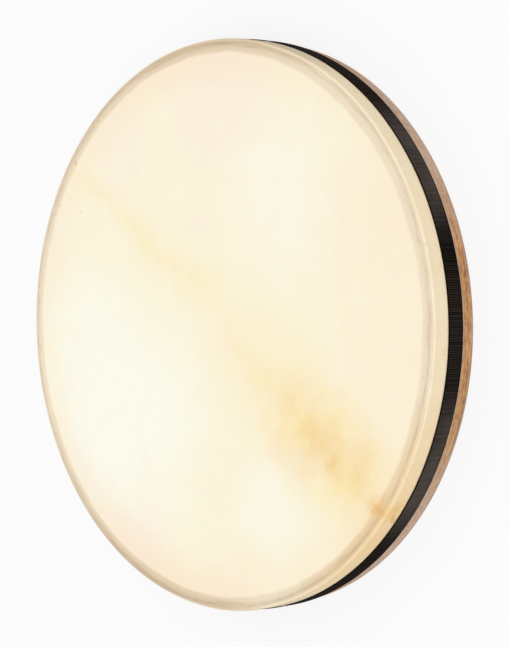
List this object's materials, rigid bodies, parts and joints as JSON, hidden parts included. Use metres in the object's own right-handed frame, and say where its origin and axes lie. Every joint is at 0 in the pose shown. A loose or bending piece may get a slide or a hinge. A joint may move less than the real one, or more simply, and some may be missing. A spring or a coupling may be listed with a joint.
{
  "type": "tar frame drum",
  "caption": "Shallow frame drum: a natural goatskin head turned down and glued over a bent laminated wooden hoop, with a woven tape over the skin's cut edge.",
  "frame": {"origin": "on the drum's axis, in the plane of the rear edge of the hoop that it lies on", "axes": "+Z along the drum's axis, out through the head; +X towards the side that stands uppermost when the drum is held up, clear of the scarf joints and the tape's end"},
  "size_m": [0.5, 0.5, 0.0509],
  "materials": {
    "hoop_wood": "brown-stained hardwood, thin satin oil finish, grain along the bend",
    "goatskin": "natural translucent goatskin, cream with tan spine markings, dry satin",
    "woven_tape": "black ribbed woven ribbon, ribs across its width, soft sheen"
  },
  "bodies": {
    "root": {"hoop_outer_ply": "hoop_wood", "hoop_core_ply": "hoop_wood", "hoop_inner_ply": "hoop_wood", "skin_head": "goatskin", "edge_tape": "woven_tape"}
  },
  "joints": []
}
